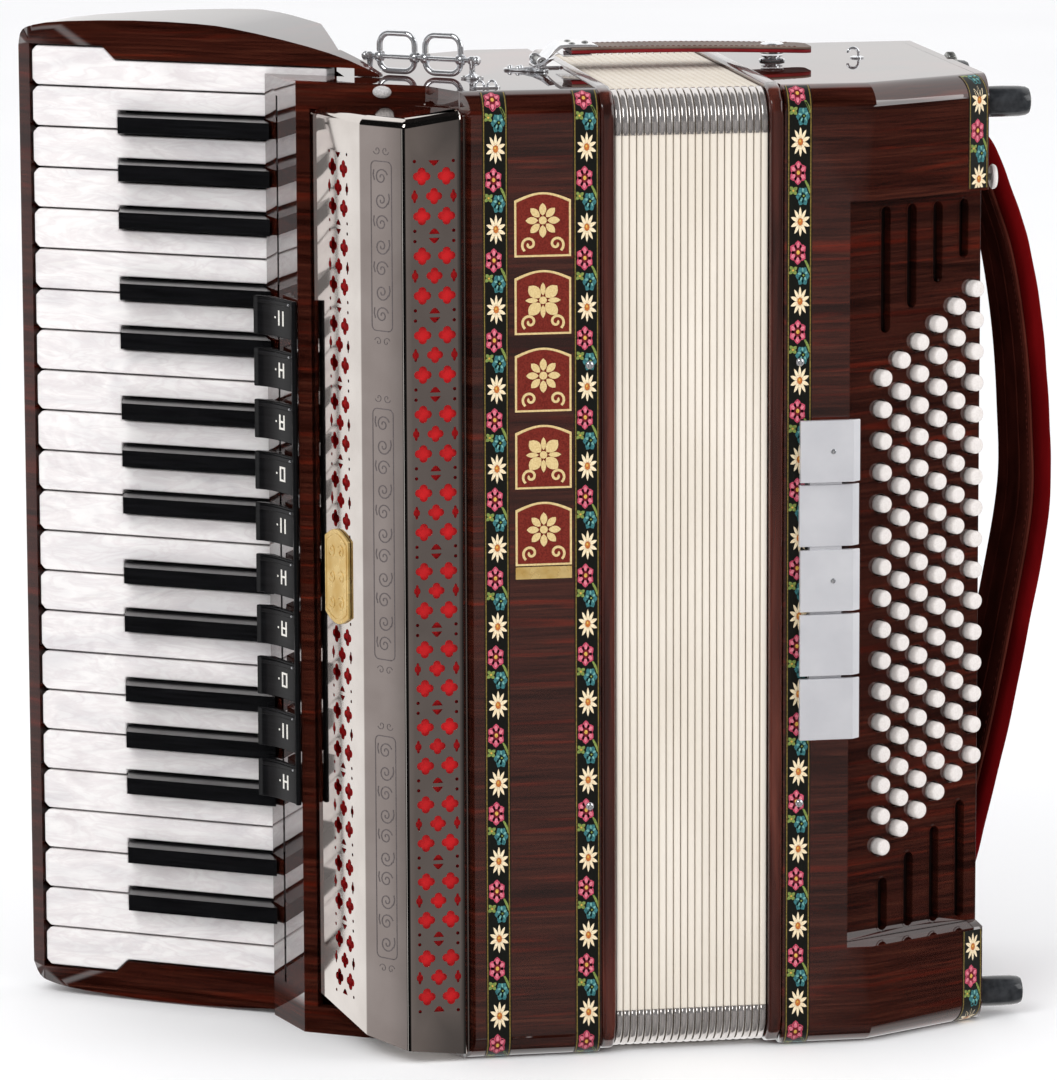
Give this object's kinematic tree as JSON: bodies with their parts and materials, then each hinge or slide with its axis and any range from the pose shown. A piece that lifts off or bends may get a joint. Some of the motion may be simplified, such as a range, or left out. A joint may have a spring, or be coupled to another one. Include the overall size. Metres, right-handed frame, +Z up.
{
  "type": "piano accordion",
  "caption": "Piano accordion with sprung keys, register tabs, metal grille, folding bellows, and a bass side with rows of buttons and a hand strap.",
  "frame": {"origin": "middle of the footprint of the whole instrument, on the surface that the two cabinets stand on", "axes": "+X from the keyboard side to the bass side, along which the bellows opens; -Y faces the listener; +Z up"},
  "size_m": [0.496, 0.208, 0.487],
  "materials": {
    "rosewood_celluloid": "polished, dark red-brown with fine straight grain",
    "dark_nickel": "polished dark nickel",
    "red_cloth": "matte",
    "white_pearl": "polished, marbled",
    "black_gloss": "polished",
    "chrome": "polished",
    "steel": "satin",
    "spruce": "plain sawn",
    "bellows_cloth": "coated, satin",
    "dark_wood": "lacquered",
    "rubber": "matte",
    "velvet": "short pile",
    "leather": "satin",
    "gold_trim": "polished",
    "flower_ribbon": "woven and lacquered over"
  },
  "bodies": {
    "treble": {"treble_cabinet": "rosewood_celluloid", "keyboard_bed": "rosewood_celluloid", "key_axle": "steel", "treble_grille": "dark_nickel", "grille_cloth": "red_cloth", "treble_reed_blocks": "spruce", "bellows_frame_treble": "dark_wood", "bellows": "bellows_cloth", "shoulder_bracket": "chrome"},
    "bass": {"bellows_frame_bass": "dark_wood", "bass_cabinet": "rosewood_celluloid", "bass_end_plate": "rosewood_celluloid", "end_feet": "rubber", "hand_strap": "velvet"},
    "treble_register_tabs": {"treble_registers": "black_gloss"},
    "bass_register_tabs": {"bass_registers": "chrome"},
    "bass_button_set": {"bass_buttons": "white_pearl"},
    "air_button_body": {"air_button": "white_pearl"},
    "strap_wheel_body": {"strap_wheel": "black_gloss"},
    "bellows_strap_body": {"bellows_strap": "leather"},
    "loop_left": {"shoulder_loop_left": "chrome"},
    "loop_right": {"shoulder_loop_right": "chrome"},
    "white_key_01_body": {"white_key_01": "white_pearl"},
    "white_key_02_body": {"white_key_02": "white_pearl"},
    "white_key_03_body": {"white_key_03": "white_pearl"},
    "white_key_04_body": {"white_key_04": "white_pearl"},
    "white_key_05_body": {"white_key_05": "white_pearl"},
    "white_key_06_body": {"white_key_06": "white_pearl"},
    "white_key_07_body": {"white_key_07": "white_pearl"},
    "white_key_08_body": {"white_key_08": "white_pearl"},
    "white_key_09_body": {"white_key_09": "white_pearl"},
    "white_key_10_body": {"white_key_10": "white_pearl"},
    "white_key_11_body": {"white_key_11": "white_pearl"},
    "white_key_12_body": {"white_key_12": "white_pearl"},
    "white_key_13_body": {"white_key_13": "white_pearl"},
    "white_key_14_body": {"white_key_14": "white_pearl"},
    "white_key_15_body": {"white_key_15": "white_pearl"},
    "white_key_16_body": {"white_key_16": "white_pearl"},
    "white_key_17_body": {"white_key_17": "white_pearl"},
    "white_key_18_body": {"white_key_18": "white_pearl"},
    "white_key_19_body": {"white_key_19": "white_pearl"},
    "white_key_20_body": {"white_key_20": "white_pearl"},
    "white_key_21_body": {"white_key_21": "white_pearl"},
    "white_key_22_body": {"white_key_22": "white_pearl"},
    "white_key_23_body": {"white_key_23": "white_pearl"},
    "black_key_01_body": {"black_key_01": "black_gloss"},
    "black_key_02_body": {"black_key_02": "black_gloss"},
    "black_key_03_body": {"black_key_03": "black_gloss"},
    "black_key_04_body": {"black_key_04": "black_gloss"},
    "black_key_05_body": {"black_key_05": "black_gloss"},
    "black_key_06_body": {"black_key_06": "black_gloss"},
    "black_key_07_body": {"black_key_07": "black_gloss"},
    "black_key_08_body": {"black_key_08": "black_gloss"},
    "black_key_09_body": {"black_key_09": "black_gloss"},
    "black_key_10_body": {"black_key_10": "black_gloss"},
    "black_key_11_body": {"black_key_11": "black_gloss"},
    "black_key_12_body": {"black_key_12": "black_gloss"},
    "black_key_13_body": {"black_key_13": "black_gloss"},
    "black_key_14_body": {"black_key_14": "black_gloss"},
    "black_key_15_body": {"black_key_15": "black_gloss"}
  },
  "joints": [
    {"name": "bellows_draw", "type": "slide", "parent": "treble", "child": "bass", "axis": [1, 0, 0], "range_m": [0, 0.36], "deforming": ["bellows"]},
    {"name": "treble_register_press", "type": "hinge", "parent": "treble", "child": "treble_register_tabs", "pos_m": [-0.12878, -0.02444, 0.2356], "axis": [0, 0, -1], "range_deg": [0, 3.5], "stiffness_Nm_per_rad": 2, "springref_deg": -2.86},
    {"name": "bass_register_press", "type": "slide", "parent": "bass", "child": "bass_register_tabs", "axis": [0, 1, 0], "range_m": [0, 0.0016], "stiffness_N_per_m": 400, "springref_m": -0.004},
    {"name": "bass_button_press", "type": "slide", "parent": "bass", "child": "bass_button_set", "axis": [-0.4352, 0.9003, 0], "range_m": [0, 0.003], "stiffness_N_per_m": 400, "springref_m": -0.004},
    {"name": "air_button_press", "type": "slide", "parent": "bass", "child": "air_button_body", "axis": [-1, 0, 0], "range_m": [0, 0.003], "stiffness_N_per_m": 300, "springref_m": -0.004},
    {"name": "strap_wheel_turn", "type": "hinge", "parent": "bass", "child": "strap_wheel_body", "pos_m": [0.20396, 0.028, 0.457], "axis": [1, 0, 0], "continuous": true},
    {"name": "bellows_strap_lift", "type": "hinge", "parent": "treble", "child": "bellows_strap_body", "pos_m": [-0.00384, 0.0205, 0.4645], "axis": [0, -1, 0], "range_deg": [0, 85]},
    {"name": "shoulder_loop_left_swing", "type": "hinge", "parent": "treble", "child": "loop_left", "pos_m": [-0.07526, -0.00639, 0.4726], "axis": [0.788, -0.6157, 0], "range_deg": [-75, 75]},
    {"name": "shoulder_loop_right_swing", "type": "hinge", "parent": "treble", "child": "loop_right", "pos_m": [-0.05556, -0.02178, 0.4726], "axis": [0.788, -0.6157, 0], "range_deg": [-75, 75]},
    {"name": "white_key_01_press", "type": "hinge", "parent": "treble", "child": "white_key_01_body", "pos_m": [-0.11254, 0.00622, 0.2437], "axis": [0, 0, -1], "range_deg": [0, 2], "stiffness_Nm_per_rad": 1.5, "springref_deg": -3.44},
    {"name": "white_key_02_press", "type": "hinge", "parent": "treble", "child": "white_key_02_body", "pos_m": [-0.11254, 0.00622, 0.2437], "axis": [0, 0, -1], "range_deg": [0, 2], "stiffness_Nm_per_rad": 1.5, "springref_deg": -3.44},
    {"name": "white_key_03_press", "type": "hinge", "parent": "treble", "child": "white_key_03_body", "pos_m": [-0.11254, 0.00622, 0.2437], "axis": [0, 0, -1], "range_deg": [0, 2], "stiffness_Nm_per_rad": 1.5, "springref_deg": -3.44},
    {"name": "white_key_04_press", "type": "hinge", "parent": "treble", "child": "white_key_04_body", "pos_m": [-0.11254, 0.00622, 0.2437], "axis": [0, 0, -1], "range_deg": [0, 2], "stiffness_Nm_per_rad": 1.5, "springref_deg": -3.44},
    {"name": "white_key_05_press", "type": "hinge", "parent": "treble", "child": "white_key_05_body", "pos_m": [-0.11254, 0.00622, 0.2437], "axis": [0, 0, -1], "range_deg": [0, 2], "stiffness_Nm_per_rad": 1.5, "springref_deg": -3.44},
    {"name": "white_key_06_press", "type": "hinge", "parent": "treble", "child": "white_key_06_body", "pos_m": [-0.11254, 0.00622, 0.2437], "axis": [0, 0, -1], "range_deg": [0, 2], "stiffness_Nm_per_rad": 1.5, "springref_deg": -3.44},
    {"name": "white_key_07_press", "type": "hinge", "parent": "treble", "child": "white_key_07_body", "pos_m": [-0.11254, 0.00622, 0.2437], "axis": [0, 0, -1], "range_deg": [0, 2], "stiffness_Nm_per_rad": 1.5, "springref_deg": -3.44},
    {"name": "white_key_08_press", "type": "hinge", "parent": "treble", "child": "white_key_08_body", "pos_m": [-0.11254, 0.00622, 0.2437], "axis": [0, 0, -1], "range_deg": [0, 2], "stiffness_Nm_per_rad": 1.5, "springref_deg": -3.44},
    {"name": "white_key_09_press", "type": "hinge", "parent": "treble", "child": "white_key_09_body", "pos_m": [-0.11254, 0.00622, 0.2437], "axis": [0, 0, -1], "range_deg": [0, 2], "stiffness_Nm_per_rad": 1.5, "springref_deg": -3.44},
    {"name": "white_key_10_press", "type": "hinge", "parent": "treble", "child": "white_key_10_body", "pos_m": [-0.11254, 0.00622, 0.2437], "axis": [0, 0, -1], "range_deg": [0, 2], "stiffness_Nm_per_rad": 1.5, "springref_deg": -3.44},
    {"name": "white_key_11_press", "type": "hinge", "parent": "treble", "child": "white_key_11_body", "pos_m": [-0.11254, 0.00622, 0.2437], "axis": [0, 0, -1], "range_deg": [0, 2], "stiffness_Nm_per_rad": 1.5, "springref_deg": -3.44},
    {"name": "white_key_12_press", "type": "hinge", "parent": "treble", "child": "white_key_12_body", "pos_m": [-0.11254, 0.00622, 0.2437], "axis": [0, 0, -1], "range_deg": [0, 2], "stiffness_Nm_per_rad": 1.5, "springref_deg": -3.44},
    {"name": "white_key_13_press", "type": "hinge", "parent": "treble", "child": "white_key_13_body", "pos_m": [-0.11254, 0.00622, 0.2437], "axis": [0, 0, -1], "range_deg": [0, 2], "stiffness_Nm_per_rad": 1.5, "springref_deg": -3.44},
    {"name": "white_key_14_press", "type": "hinge", "parent": "treble", "child": "white_key_14_body", "pos_m": [-0.11254, 0.00622, 0.2437], "axis": [0, 0, -1], "range_deg": [0, 2], "stiffness_Nm_per_rad": 1.5, "springref_deg": -3.44},
    {"name": "white_key_15_press", "type": "hinge", "parent": "treble", "child": "white_key_15_body", "pos_m": [-0.11254, 0.00622, 0.2437], "axis": [0, 0, -1], "range_deg": [0, 2], "stiffness_Nm_per_rad": 1.5, "springref_deg": -3.44},
    {"name": "white_key_16_press", "type": "hinge", "parent": "treble", "child": "white_key_16_body", "pos_m": [-0.11254, 0.00622, 0.2437], "axis": [0, 0, -1], "range_deg": [0, 2], "stiffness_Nm_per_rad": 1.5, "springref_deg": -3.44},
    {"name": "white_key_17_press", "type": "hinge", "parent": "treble", "child": "white_key_17_body", "pos_m": [-0.11254, 0.00622, 0.2437], "axis": [0, 0, -1], "range_deg": [0, 2], "stiffness_Nm_per_rad": 1.5, "springref_deg": -3.44},
    {"name": "white_key_18_press", "type": "hinge", "parent": "treble", "child": "white_key_18_body", "pos_m": [-0.11254, 0.00622, 0.2437], "axis": [0, 0, -1], "range_deg": [0, 2], "stiffness_Nm_per_rad": 1.5, "springref_deg": -3.44},
    {"name": "white_key_19_press", "type": "hinge", "parent": "treble", "child": "white_key_19_body", "pos_m": [-0.11254, 0.00622, 0.2437], "axis": [0, 0, -1], "range_deg": [0, 2], "stiffness_Nm_per_rad": 1.5, "springref_deg": -3.44},
    {"name": "white_key_20_press", "type": "hinge", "parent": "treble", "child": "white_key_20_body", "pos_m": [-0.11254, 0.00622, 0.2437], "axis": [0, 0, -1], "range_deg": [0, 2], "stiffness_Nm_per_rad": 1.5, "springref_deg": -3.44},
    {"name": "white_key_21_press", "type": "hinge", "parent": "treble", "child": "white_key_21_body", "pos_m": [-0.11254, 0.00622, 0.2437], "axis": [0, 0, -1], "range_deg": [0, 2], "stiffness_Nm_per_rad": 1.5, "springref_deg": -3.44},
    {"name": "white_key_22_press", "type": "hinge", "parent": "treble", "child": "white_key_22_body", "pos_m": [-0.11254, 0.00622, 0.2437], "axis": [0, 0, -1], "range_deg": [0, 2], "stiffness_Nm_per_rad": 1.5, "springref_deg": -3.44},
    {"name": "white_key_23_press", "type": "hinge", "parent": "treble", "child": "white_key_23_body", "pos_m": [-0.11254, 0.00622, 0.2437], "axis": [0, 0, -1], "range_deg": [0, 2], "stiffness_Nm_per_rad": 1.5, "springref_deg": -3.44},
    {"name": "black_key_01_press", "type": "hinge", "parent": "treble", "child": "black_key_01_body", "pos_m": [-0.11254, 0.00622, 0.2437], "axis": [0, 0, -1], "range_deg": [0, 2], "stiffness_Nm_per_rad": 1.5, "springref_deg": -3.44},
    {"name": "black_key_02_press", "type": "hinge", "parent": "treble", "child": "black_key_02_body", "pos_m": [-0.11254, 0.00622, 0.2437], "axis": [0, 0, -1], "range_deg": [0, 2], "stiffness_Nm_per_rad": 1.5, "springref_deg": -3.44},
    {"name": "black_key_03_press", "type": "hinge", "parent": "treble", "child": "black_key_03_body", "pos_m": [-0.11254, 0.00622, 0.2437], "axis": [0, 0, -1], "range_deg": [0, 2], "stiffness_Nm_per_rad": 1.5, "springref_deg": -3.44},
    {"name": "black_key_04_press", "type": "hinge", "parent": "treble", "child": "black_key_04_body", "pos_m": [-0.11254, 0.00622, 0.2437], "axis": [0, 0, -1], "range_deg": [0, 2], "stiffness_Nm_per_rad": 1.5, "springref_deg": -3.44},
    {"name": "black_key_05_press", "type": "hinge", "parent": "treble", "child": "black_key_05_body", "pos_m": [-0.11254, 0.00622, 0.2437], "axis": [0, 0, -1], "range_deg": [0, 2], "stiffness_Nm_per_rad": 1.5, "springref_deg": -3.44},
    {"name": "black_key_06_press", "type": "hinge", "parent": "treble", "child": "black_key_06_body", "pos_m": [-0.11254, 0.00622, 0.2437], "axis": [0, 0, -1], "range_deg": [0, 2], "stiffness_Nm_per_rad": 1.5, "springref_deg": -3.44},
    {"name": "black_key_07_press", "type": "hinge", "parent": "treble", "child": "black_key_07_body", "pos_m": [-0.11254, 0.00622, 0.2437], "axis": [0, 0, -1], "range_deg": [0, 2], "stiffness_Nm_per_rad": 1.5, "springref_deg": -3.44},
    {"name": "black_key_08_press", "type": "hinge", "parent": "treble", "child": "black_key_08_body", "pos_m": [-0.11254, 0.00622, 0.2437], "axis": [0, 0, -1], "range_deg": [0, 2], "stiffness_Nm_per_rad": 1.5, "springref_deg": -3.44},
    {"name": "black_key_09_press", "type": "hinge", "parent": "treble", "child": "black_key_09_body", "pos_m": [-0.11254, 0.00622, 0.2437], "axis": [0, 0, -1], "range_deg": [0, 2], "stiffness_Nm_per_rad": 1.5, "springref_deg": -3.44},
    {"name": "black_key_10_press", "type": "hinge", "parent": "treble", "child": "black_key_10_body", "pos_m": [-0.11254, 0.00622, 0.2437], "axis": [0, 0, -1], "range_deg": [0, 2], "stiffness_Nm_per_rad": 1.5, "springref_deg": -3.44},
    {"name": "black_key_11_press", "type": "hinge", "parent": "treble", "child": "black_key_11_body", "pos_m": [-0.11254, 0.00622, 0.2437], "axis": [0, 0, -1], "range_deg": [0, 2], "stiffness_Nm_per_rad": 1.5, "springref_deg": -3.44},
    {"name": "black_key_12_press", "type": "hinge", "parent": "treble", "child": "black_key_12_body", "pos_m": [-0.11254, 0.00622, 0.2437], "axis": [0, 0, -1], "range_deg": [0, 2], "stiffness_Nm_per_rad": 1.5, "springref_deg": -3.44},
    {"name": "black_key_13_press", "type": "hinge", "parent": "treble", "child": "black_key_13_body", "pos_m": [-0.11254, 0.00622, 0.2437], "axis": [0, 0, -1], "range_deg": [0, 2], "stiffness_Nm_per_rad": 1.5, "springref_deg": -3.44},
    {"name": "black_key_14_press", "type": "hinge", "parent": "treble", "child": "black_key_14_body", "pos_m": [-0.11254, 0.00622, 0.2437], "axis": [0, 0, -1], "range_deg": [0, 2], "stiffness_Nm_per_rad": 1.5, "springref_deg": -3.44},
    {"name": "black_key_15_press", "type": "hinge", "parent": "treble", "child": "black_key_15_body", "pos_m": [-0.11254, 0.00622, 0.2437], "axis": [0, 0, -1], "range_deg": [0, 2], "stiffness_Nm_per_rad": 1.5, "springref_deg": -3.44}
  ]
}
